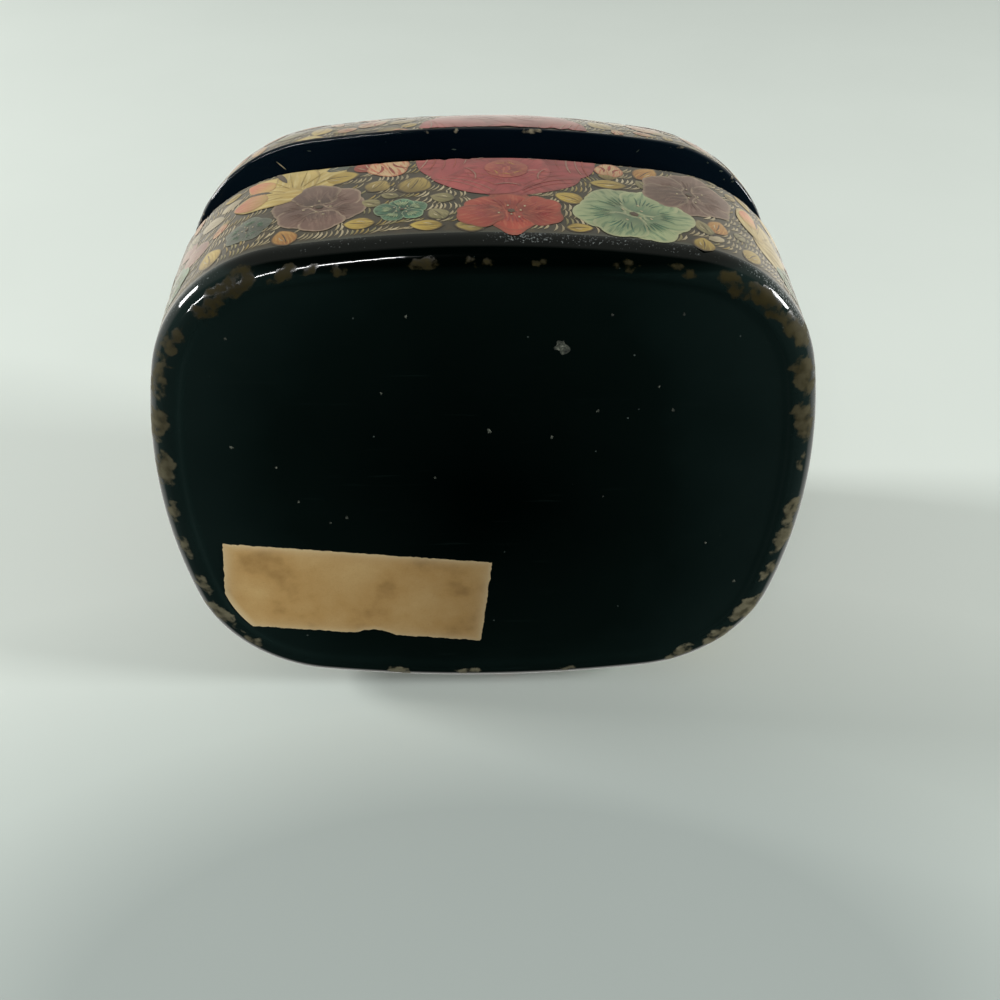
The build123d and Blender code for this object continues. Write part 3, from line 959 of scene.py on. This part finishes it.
def rose(canvas, x, y, width, height, turn, paint):  # turn points from the flower's middle to its heart
    size = (width + height) / 2
    dab(canvas, paint, x, y, width, height, turn, lobes=7, depth=0.05)
    for number in range(6):
        angle = turn + math.tau * (number + 0.5) / 6
        petalX, petalY = around(canvas, x, y, angle, width * 0.3, height * 0.3)
        dab(canvas, paint, petalX, petalY, size * 0.42, size * 0.56, angle, layer=1 + number % 3, taper=0.1)
        for reach in (0.43, 0.39, 0.34, 0.28, 0.22):  # fine lines that follow each petal's edge
            side = brush.uniform(-0.12, 0.12)
            lineX, lineY = around(canvas, x, y, angle + side, width * reach, height * reach)
            line(canvas, brush.choice(("petalPink", "scarlet", "roseHeart")), lineX, lineY,
                 size * reach * 0.9, brush.uniform(0.12, 0.26), angle + side + math.pi / 2,
                 layer=6, bend=-0.22)
    heartX, heartY = around(canvas, x, y, turn, width * 0.17, height * 0.17)
    for number in range(5):
        angle = turn + math.tau * number / 5
        petalX, petalY = around(canvas, heartX, heartY, angle, size * 0.13, size * 0.13)
        dab(canvas, paint, petalX, petalY, size * 0.24, size * 0.3, angle, layer=3 + number % 3, taper=0.15)
        edgeX, edgeY = around(canvas, heartX, heartY, angle, size * 0.19, size * 0.19)
        line(canvas, "petalPink", edgeX, edgeY, size * 0.16, 0.2, angle + math.pi / 2, layer=10, bend=-0.3)
    dab(canvas, "roseHeart", heartX, heartY, size * 0.2, size * 0.18, turn, layer=6, lobes=6, depth=0.15)
    for number in range(7):  # the heart's furled petals
        angle = turn + number * 0.9
        furlX, furlY = around(canvas, heartX, heartY, angle, size * 0.075, size * 0.07)
        dab(canvas, "roseHeart", furlX, furlY, size * 0.1, size * 0.14, angle, layer=7 + number % 3)
        line(canvas, "amberBud", furlX, furlY, size * 0.08, 0.2, angle + 1.3, layer=10, bend=-0.3)


def lily(canvas, x, y, width, height, turn, paint):  # turn points along its longest petal
    rootX, rootY = around(canvas, x, y, turn, -width * 0.22, -width * 0.22)
    for side, layer in ((-2.2, 1), (-0.65, 2), (-1.45, 3), (0.0, 4)):
        angle = turn + side
        petalX, petalY = around(canvas, rootX, rootY, angle, width * 0.3, height * 0.36)
        dab(canvas, paint, petalX, petalY, width * 0.8, height * 0.5, angle,
            layer=layer, taper=0.05, point=0.08)
        for vein in (-0.14, 0.14):
            veinX, veinY = around(canvas, petalX, petalY, angle + vein * 10, height * 0.07, height * 0.07)
            line(canvas, "marigold", veinX, veinY, width * 0.4, 0.16, angle + vein, layer=6)
    tips = ((0.0, 0.5, 0.36), (-0.65, 0.56, 0.26)) if width > 13.5 else ((0.0, 0.5, 0.32),)
    for side, reach, breadth in tips:
        tipX, tipY = around(canvas, rootX, rootY, turn + side, width * reach, height * reach)
        dab(canvas, "lilyBlush", tipX, tipY, width * 0.42, height * breadth, turn + side,
            layer=7, taper=-0.25, point=0.15)
    for side in (-0.33, -1.05)[:len(tips)]:  # the dark gaps between petals
        gapX, gapY = around(canvas, rootX, rootY, turn + side, width * 0.46, height * 0.54)
        dab(canvas, "umber", gapX, gapY, width * 0.36, height * 0.07, turn + side, layer=7, point=0.5)


# The wall's front as painted: motif, along, up, width, height, turn in degrees, paint

frontMotifs = (
    (rose, 3.3, 27.0, 26.6, 25.2, -90, "rose"),
    (posy, 3.6, 9.2, 17.2, 9.4, -90, "scarlet"),
    (posy, 20.8, 10.1, 17.2, 14.6, -54, "sage"),
    (posy, 30.0, 18.9, 15.0, 12.6, -100, "plum"),
    (posy, -23.3, 13.2, 13.4, 14.0, 162, "plum"),
    (posy, -11.5, 10.2, 7.8, 6.6, 20, "teal"),
    (posy, -33.6, 10.2, 7.6, 6.8, 80, "slate"),
    (lily, -30.3, 18.6, 14.0, 13.5, 176, "lily"),
    (lily, 41.2, 16.5, 11.0, 12.0, 100, "lily"),
    (bud, 18.6, 24.2, 4.7, 4.5, 80, "blossom"),
    (bud, -13.9, 24.6, 6.6, 6.6, -70, "blossom"),
    (petal, -17.6, 25.2, 3.4, 3.0, 130, "scarlet"),
    (leaf, 24.0, 24.3, 5.2, 3.5, 52, "amberBud"),
    (leaf, 18.0, 19.4, 5.6, 2.9, 178, "marigold"),
    (leaf, 12.0, 13.9, 4.6, 3.4, 150, "marigold"),
    (leaf, 12.8, 5.0, 3.8, 2.5, 5, "marigold"),
    (leaf, -2.0, 5.0, 4.3, 3.4, 175, "ochreLeaf"),
    (leaf, -8.0, 5.2, 4.6, 3.0, 176, "marigold"),
    (leaf, -6.4, 8.6, 3.6, 3.0, 120, "oliveLeaf"),
    (leaf, 33.3, 10.4, 4.6, 3.3, 70, "amberBud"),
    (leaf, 30.9, 9.2, 4.4, 2.8, 110, "oliveLeaf"),
    (leaf, 30.0, 3.9, 3.8, 3.4, 85, "marigold"),
    (petal, 32.3, 6.4, 3.2, 1.6, 30, "chalk"),
    (leaf, 38.3, 6.0, 5.4, 3.2, 55, "marigold"),
    (leaf, -15.2, 18.4, 4.0, 3.8, 60, "ochreLeaf"),
    (leaf, -9.9, 18.0, 5.6, 5.0, 70, "ochreLeaf"),
    (leaf, -16.0, 13.0, 3.4, 2.4, 150, "oliveLeaf"),
    (leaf, -6.0, 13.6, 3.6, 2.9, 160, "oliveLeaf"),
    (leaf, -21.8, 22.6, 7.2, 4.6, 12, "marigold"),
    (petal, -22.0, 25.6, 4.4, 2.4, 20, "slate"),
    (leaf, -27.3, 5.2, 4.6, 3.5, 110, "amberBud"),
    (leaf, -17.3, 7.0, 4.4, 3.5, 175, "marigold"),
    (petal, -44.0, 13.5, 6.4, 5.4, 160, "petalPink"),
    (leaf, -39.6, 7.1, 5.8, 4.2, 105, "marigold"),
    (petal, -46.8, 18.6, 6.6, 4.0, 130, "petalPink"),
    (petal, -41.6, 20.0, 5.6, 3.2, 150, "chalk"),
    (leaf, 23.2, 20.0, 3.6, 2.0, 120, "oliveLeaf"),
)
endMotifs = (  # the same hand at the short ends, laid out from the end's middle
    (rose, 1.0, 26.8, 25.0, 24.6, -80, "rose"),
    (posy, -15.2, 10.0, 13.6, 11.4, 200, "scarlet"),
    (posy, 17.0, 10.6, 15.2, 13.2, -40, "plum"),
    (posy, 0.6, 8.8, 11.6, 9.0, -90, "sage"),
    (lily, -21.5, 19.6, 13.0, 12.6, 150, "lily"),
    (posy, 27.4, 20.0, 12.0, 10.4, 60, "slate"),
    (posy, -30.5, 10.0, 9.4, 8.8, 120, "teal"),
    (bud, 17.5, 22.8, 5.4, 5.2, 70, "blossom"),
    (bud, -12.6, 20.6, 5.4, 4.8, 110, "blossom"),
    (leaf, 9.4, 6.0, 4.6, 3.0, 20, "marigold"),
    (leaf, -7.6, 5.0, 4.4, 2.8, 165, "ochreLeaf"),
    (leaf, 9.2, 13.0, 4.4, 3.0, 60, "oliveLeaf"),
    (leaf, -8.6, 14.8, 4.6, 3.2, 120, "marigold"),
    (leaf, 27.6, 7.4, 5.4, 3.6, 80, "amberBud"),
    (leaf, -23.4, 5.0, 4.6, 2.8, 10, "marigold"),
    (petal, 34.0, 12.0, 5.6, 4.0, 60, "petalPink"),
    (leaf, -33.4, 20.6, 5.6, 3.8, 60, "oliveLeaf"),
    (leaf, 34.6, 5.6, 4.8, 3.2, 130, "marigold"),
)


def layMotifs(canvas, motifs, middle, mirrored=False):
    sign = -1 if mirrored else 1
    for motif, x, y, width, height, turn, paint in motifs:
        angle = math.radians(180 - turn if mirrored else turn)
        motif(canvas, middle + sign * x, y, width, height, angle, paint)


def scatterMotifs(canvas, kinds, tries, inField):  # more flowers and leaves wherever there is room
    placed = 0
    for attempt in range(tries):
        motif, size, paints = brush.choice(kinds)
        width = size * brush.uniform(0.85, 1.15)
        flatness = (0.75, 0.95) if motif in (posy, rose, lily) else (0.6, 0.8)
        height = width * brush.uniform(*flatness)
        x, y, turn, paint = *inField(), brush.uniform(0, math.tau), brush.choice(paints)
        if not cellsUnder(canvas, x, y, width * 1.06, width, 0.0) & canvas["cells"]:
            motif(canvas, x, y, width, height, turn, paint)
            placed += 1
    return placed


strokeLook = {
    "step": 0.7, "row": 2.0, "jitter": (0.12, 0.25),  # along a row, and from one row to the next
    "length": (1.8, 2.7), "width": (0.25, 0.4), "bend": 0.28,
    "slant": 1.1, "rowSway": 0.4, "sway": 1.1, "swayRun": 9.0,  # how they lean, in radians
    "mossRun": (6.0, 5.0), "mossFrom": 0.1,  # patches where they are greener
}


def scatterStrokes(canvas, columns, rows):  # little comma strokes in rows over the bare ground
    look = strokeLook
    (jitterX, jitterY), (mossX, mossY), swayRun = look["jitter"], look["mossRun"], look["swayRun"]
    for y in rows:
        slant = look["slant"] + look["rowSway"] * noise.noise(Vector((0, y, 3)))
        for x in columns(y):
            spotX, spotY = x + brush.uniform(-jitterX, jitterX), y + brush.uniform(-jitterY, jitterY)
            lean = slant + look["sway"] * noise.noise(Vector((spotX / swayRun, spotY / swayRun, 11)))
            if not cellsUnder(canvas, spotX, spotY, 1.0, 0.8, lean) & canvas["cells"]:
                length = brush.uniform(*look["length"])
                mossy = noise.noise(Vector((spotX / mossX, spotY / mossY, 17))) > look["mossFrom"]
                paints = ("ochreLeaf", "oliveLeaf", "straw") if mossy else ("straw", "straw", "chalk")
                paint, width = brush.choice(paints), brush.uniform(*look["width"])
                dab(canvas, paint, spotX, spotY, length, width, lean, point=0.35, bend=look["bend"])
                canvas["cells"] -= cellsUnder(canvas, spotX, spotY, length, 0.3, lean)


def wrapPainting(name, canvas, low, high, place, body):
    bm = canvas["bm"].copy()
    for height, outer in ((high, True), (low, False)):
        everything = bm.verts[:] + bm.edges[:] + bm.faces[:]
        bmesh.ops.bisect_plane(bm, geom=everything, plane_co=(0, height, 0), plane_no=(0, 1, 0),
                               clear_outer=outer, clear_inner=not outer)
    for vert in bm.verts:
        vert.co = place(*vert.co) * mm
    bmesh.ops.remove_doubles(bm, verts=bm.verts, dist=0.0005 * mm)
    newPiece(name, bm, gouacheMaterials, body)


bigKinds = [  # motif, size in millimetres, paints
    (posy, 14.5, ["scarlet", "sage", "plum", "rose", "slate"]),
    (rose, 18.0, ["rose"]),
    (lily, 13.0, ["lily"]),
]
mediumKinds = [(posy, 8.5, ["teal", "slate", "petalPink", "scarlet", "plum"]), (bud, 6.0, ["blossom"])]
# three leaves to each bud or petal
leafKinds = [(leaf, 4.8, ["marigold", "oliveLeaf", "ochreLeaf", "amberBud", "marigold"])] * 3
leafKinds += [(bud, 3.8, ["blossom"]), (petal, 4.2, ["petalPink", "slate", "chalk"])]
smallKinds = [(leaf, 3.0, ["marigold", "oliveLeaf", "ochreLeaf", "amberBud"])]

wallField = {"low": 3.5, "high": seam + 32.5, "firstStrokes": 4.7, "strokeRows": 27}  # up from the foot
wallCanvas = newCanvas(wallPinch)


def wallSpot(margin):
    return brush.uniform(0, girth), brush.uniform(wallField["low"] + margin, wallField["high"] - margin * 0.6)


def wallColumns(up):
    step, pinch = strokeLook["step"], wallPinch(up)
    return [number * step / pinch for number in range(int(girth * pinch / step))]


layMotifs(wallCanvas, frontMotifs, 0.0)
layMotifs(wallCanvas, frontMotifs, girth / 2, mirrored=True)
layMotifs(wallCanvas, endMotifs, girth / 4)
layMotifs(wallCanvas, endMotifs, girth * 3 / 4, mirrored=True)
for kinds, tries in ((bigKinds, 900), (mediumKinds, 900), (leafKinds, 2500), (smallKinds, 2500)):
    margin = kinds[0][1] / 2
    print("scattered on the wall:", scatterMotifs(wallCanvas, kinds, tries, lambda: wallSpot(margin)))
wallRows = (wallField["firstStrokes"] + row * strokeLook["row"] for row in range(wallField["strokeRows"]))
scatterStrokes(wallCanvas, wallColumns, wallRows)


def baseSpot(x, y, lift):  # the paint ends lower where the rim is nicked
    nick = nickAt(x, rimSeeds["base"]) * smoothStep(seam - 0.8, seam - 0.15, y)
    return wallPoint(x, y - nick * 1.2, lift)


def lidSpot(x, y, lift):  # the paint stops unevenly short of the lid's rim
    nick = 0.3 + nickAt(x, rimSeeds["lid"]) + 0.5 * noise.noise(Vector((x / 1.3, 0, 21)))
    return wallPoint(x, y + nick * smoothStep(seam + 1.6, seam + 0.4, y), lift)


wrapPainting("baseFlowers", wallCanvas, 1.0, seam - 0.12, baseSpot, "base")
wrapPainting("lidFlowers", wallCanvas, seam + 0.4, seam + 40, lidSpot, "lid")
wallCanvas["bm"].free()

crownField = {"flowers": (32.5, 23.5), "strokes": (37.5, 28.5)}  # the half length and half width of each
crownCanvas = newCanvas(lambda up: 1.0)


def crownSpot():
    turn, reach = brush.uniform(0, math.tau), math.sqrt(brush.random())
    halfLength, halfWidth = crownField["flowers"]
    return math.cos(turn) * reach * halfLength, math.sin(turn) * reach * halfWidth


def crownColumns(y):
    halfLength, halfWidth = crownField["strokes"]
    places = [number * strokeLook["step"] for number in range(-53, 54)]
    return [x for x in places if (x / halfLength) ** 2 + (y / halfWidth) ** 2 < 1]


crownMotifs = (
    (rose, 0.0, 0.0, 23.0, 20.5, -60, "rose"),
    (posy, -19.5, 7.5, 13.5, 12.0, 140, "plum"),
    (posy, 19.5, -7.5, 13.5, 12.0, -40, "scarlet"),
    (posy, 18.5, 9.5, 13.0, 11.5, 40, "sage"),
    (lily, -18.5, -8.5, 13.0, 12.0, 200, "lily"),
    (posy, 0.5, 18.0, 10.5, 9.0, 90, "teal"),
    (posy, -0.5, -18.0, 10.5, 9.0, -90, "slate"),
    (bud, 30.5, 0.5, 5.6, 5.0, 0, "blossom"),
    (bud, -30.5, -0.5, 5.6, 5.0, 180, "blossom"),
    (leaf, 10.5, 12.5, 5.0, 3.2, 50, "marigold"),
    (leaf, -10.5, -12.5, 5.0, 3.2, 230, "marigold"),
    (leaf, -9.5, 13.5, 5.0, 3.2, 130, "oliveLeaf"),
    (leaf, 9.5, -13.5, 5.0, 3.2, -50, "oliveLeaf"),
)
layMotifs(crownCanvas, crownMotifs, 0.0)
for kinds, tries in ((mediumKinds, 300), (leafKinds, 900), (smallKinds, 900)):
    print("scattered on the crown:", scatterMotifs(crownCanvas, kinds, tries, crownSpot))
scatterStrokes(crownCanvas, crownColumns, [row * strokeLook["row"] for row in range(-14, 15)])
wrapPainting("crownFlowers", crownCanvas, -60, 60, crownPoint, "lid")
crownCanvas["bm"].free()

scratchesAndGlints = [  # scratches on the lid's rim, the last four standing for a painted highlight on its outer edge: along, inset, length, width, turn
    (-33.6, 1.4, 2.2, 0.17, 60), (-28.0, 0.2, 0.7, 0.14, 15), (-4.6, 1.9, 0.8, 0.2, 5),
    (25.4, 0.6, 0.7, 0.14, -50), (37.6, -0.8, 0.4, 0.25, -20), (40.4, -0.9, 0.6, 0.3, -35),
    (41.8, -0.2, 0.3, 0.2, 10), (43.2, -0.9, 0.5, 0.3, -60),
]


def rimSpot(x, y, lift):
    point, outward = planPoint(x, y)
    return point + Vector((0, 0, lowLid.z - lift + 0.02))


def rimScratchesAndGlints():
    canvas = newCanvas(lambda up: 1.0)
    for middle, sign in ((0.0, 1), (girth / 2, -1)):
        for x, inset, length, width, turn in scratchesAndGlints:
            # pale marks: scratches, and the last four a painted highlight on the rim's outer edge
            paint = "chalk" if length > 1 else "slate"
            line(canvas, paint, middle + sign * x, inset, length, width, math.radians(sign * turn), layer=0)
    wrapPainting("rimScratchesAndGlints", canvas, -3, 5, rimSpot, "lid")
    canvas["bm"].free()


rimScratchesAndGlints()
bpy.data.meshes.remove(brushSheet)
print("painting done")


# The room: a pale table behind the lying box, a floor under the standing one, and lamps to both sides

stageLook = {
    "far": "d3dad3", "middle": "bcc4be", "near": "9ea6a2",  # painted shadow: the table darkens towards the camera
    "shadowHeight": -60.0, "shadowFrom": 30.0, "shadowTo": 110.0, "stretch": 1.7,  # the painted shadow is darkest at a height under the foot
    "grain": 60.0, "size": 2.4, "floorGlow": 0.3,
}


def paleSurface(name, shadowed):  # matt painted board, seen from its front only
    look = stageLook
    material, tree, shader = newMaterial(name, {"Roughness": 0.95, "Specular IOR Level": 0.1})
    place = addNode(tree, "TexCoord").outputs["Object"]
    grain = addNode(tree, "TexNoise", {"Vector": place}, {"Scale": perMm(look["grain"]), "Detail": 4.0})
    worn = addNode(tree, "MapRange", {0: grain}, {"To Min": 0.975, "To Max": 1.025})
    tone = addNode(tree, "VectorMath", {"Scale": worn}, {0: fromHex(look["far"])[:3]}, operation="SCALE")
    if shadowed:
        # painted shadow: the table darkens towards the camera, most at a height under the foot
        flat = addNode(tree, "VectorMath", {0: place},
                       {1: (1 / look["stretch"], 0, 1), 2: (0, 0, -look["shadowHeight"] * mm)},
                       operation="MULTIPLY_ADD")
        away = addNode(tree, "VectorMath", {0: flat}, operation="LENGTH")
        run = addNode(tree, "MapRange", {0: away},
                      {"From Min": look["shadowFrom"] * mm, "From Max": look["shadowTo"] * mm})
        paintedShadow = addNode(tree, "ValToRGB", {0: run},
                          stops=[(0.05, look["near"]), (0.32, look["middle"]), (0.8, look["far"])])
        join(tree, tone, {0: paintedShadow})
    else:  # the floor lies flat to the lamps, so it is given a faint glow, painted light that keeps it pale
        shader.inputs["Emission Color"].default_value = fromHex(look["far"])
        shader.inputs["Emission Strength"].default_value = look["floorGlow"]
    join(tree, shader, {"Base Color": tone})
    clear = addNode(tree, "BsdfTransparent")
    facing = addNode(tree, "NewGeometry").outputs["Backfacing"]
    oneSided = addNode(tree, "MixShader", {0: facing, 1: shader, 2: clear})
    join(tree, tree.nodes["Material Output"], {"Surface": oneSided})
    return material


def stageBoard(name, middle, turn, shadowed=False):
    bm = bmesh.new()
    bmesh.ops.create_grid(bm, x_segments=1, y_segments=1, size=stageLook["size"])
    bmesh.ops.rotate(bm, verts=bm.verts, cent=(0, 0, 0), matrix=turn)
    bmesh.ops.translate(bm, verts=bm.verts, vec=middle)
    mesh = bpy.data.meshes.new(name)
    bm.to_mesh(mesh)
    bm.free()
    mesh.materials.append(paleSurface(name + "Paint", shadowed))
    board = bpy.data.objects.new(name, mesh)
    bpy.context.scene.collection.objects.link(board)
    board.visible_diffuse = board.visible_glossy = board.visible_transmission = board.visible_shadow = False


stageBoard("floorBoard", (0, 0, 0), Matrix.Identity(3))
stageBoard("tableBoard", (0, highBase.y * mm, 0), Matrix.Rotation(math.radians(90), 3, "X"), shadowed=True)

lamps = {  # place and aim in millimetres, turn in degrees, size, watts, and the rays that see it
    "rightLamp": ((1150, -360, -170), (0, 0, 30), 0, (260, 260), 12.0, ("diffuse", "glossy")),
    "leftLamp": ((-1150, -400, 230), (0, 0, 30), 0, (260, 260), 15.0, ("diffuse", "glossy")),
    "cameraFill": ((-120, -620, -860), (0, 0, 0), 0, (500, 400), 4.4, ("diffuse",)),
    "windowEdge": ((-208, -141, -772), (0, 0, 0), -1.5, (380, 12), 2.6, ("glossy",)),
    "windowCorner": ((-614, -166, -527), (0, 0, 0), -32, (190, 16), 1.6, ("glossy",)),
}


def aimed(place, aim, turn):  # looking from a place at another, turned about that line by degrees
    facing = (Vector(aim) - Vector(place)).to_track_quat("-Z", "Y").to_matrix()
    return (facing @ Matrix.Rotation(math.radians(turn), 3, "Z")).to_euler()


def addLamp(name, place, aim, turn, size, watts, seenBy):
    data = bpy.data.lights.new(name, "AREA")
    data.shape = "RECTANGLE"
    data.size, data.size_y = size[0] * mm, size[1] * mm
    data.energy = watts
    lamp = bpy.data.objects.new(name, data)
    bpy.context.scene.collection.objects.link(lamp)
    lamp.location = Vector(place) * mm
    lamp.rotation_euler = aimed(place, aim, turn)
    lamp.visible_diffuse = "diffuse" in seenBy
    lamp.visible_glossy = "glossy" in seenBy


for name, settings in lamps.items():
    addLamp(name, *settings)

roomLight = {
    "even": "eef2ee", "evenStrength": 0.36,  # what reaches matt surfaces
    "above": "f6f6f0", "ceiling": "b2b4ac", "below": "080b0b", "sides": "5a6462",  # what the lacquer mirrors
    "mirrored": 0.95,  # how strongly
    "background": "dfe5df",
}


def paleRoom():  # pale all round, but mirrored dark under the camera, which keeps the lacquer black
    look = roomLight
    world = bpy.data.worlds.new("paleRoom")
    bpy.context.scene.world = world
    world.use_nodes = True
    tree = world.node_tree
    tree.nodes.clear()
    direction = addNode(tree, "TexCoord").outputs["Generated"]
    parts = addNode(tree, "SeparateXYZ", {0: direction}).outputs
    aside = addNode(tree, "Math", {0: parts["X"]}, operation="ABSOLUTE")
    outward = addNode(tree, "MapRange", {0: aside}, {"From Min": 0.15, "From Max": 0.8})
    low = addNode(tree, "Mix", {0: outward},
                  {colourA: fromHex(look["below"]), colourB: fromHex(look["sides"])}, data_type="RGBA")
    towards = addNode(tree, "MapRange", {0: parts["Y"]},
                      {"From Min": -0.75, "From Max": -0.25, "To Min": 0.38, "To Max": 0.0})
    lifted = addNode(tree, "Math", {0: parts["Z"], 1: towards}, operation="ADD")
    rise = addNode(tree, "MapRange", {0: lifted}, {"From Min": -0.2, "From Max": 0.02})
    overTable = addNode(tree, "MapRange", {0: parts["Y"]}, {"From Min": -0.5, "From Max": 0.1})
    high = addNode(tree, "Mix", {0: overTable},
                   {colourA: fromHex(look["ceiling"]), colourB: fromHex(look["above"])}, data_type="RGBA")
    mirror = addNode(tree, "Mix", {0: rise, colourA: low, colourB: high}, data_type="RGBA")
    ray = addNode(tree, "LightPath").outputs
    even = addNode(tree, "Background",
                   values={"Color": fromHex(look["even"]), "Strength": look["evenStrength"]})
    mirrored = addNode(tree, "Background", {"Color": mirror}, {"Strength": look["mirrored"]})
    seen = addNode(tree, "Background", values={"Color": fromHex(look["background"]), "Strength": 1.0})
    lit = addNode(tree, "MixShader", {0: ray["Is Glossy Ray"], 1: even, 2: mirrored})
    mixed = addNode(tree, "MixShader", {0: ray["Is Camera Ray"], 1: lit, 2: seen})
    addNode(tree, "OutputWorld", {"Surface": mixed})


paleRoom()
print("room done")

cameraView = {  # in millimetres, in front of and below the lying box's underside
    "place": (-2.15, -101.96, -134.50), "aim": (2.19, 1.43, 0.38), "roll": -2.42,
    "lens": 39.6, "sensor": 36.0,
}


def addCamera():
    view = cameraView
    data = bpy.data.cameras.new("tableCamera")
    data.lens, data.sensor_width = view["lens"], view["sensor"]
    data.clip_start = 10 * mm
    camera = bpy.data.objects.new("tableCamera", data)
    bpy.context.scene.collection.objects.link(camera)
    camera.location = Vector(view["place"]) * mm
    camera.rotation_euler = aimed(view["place"], view["aim"], view["roll"])
    bpy.context.scene.camera = camera
    return camera


camera = addCamera()
print("camera axes", [[round(v, 5) for v in row] for row in camera.rotation_euler.to_matrix().transposed()])
bpy.context.scene.view_settings.view_transform = "Standard"
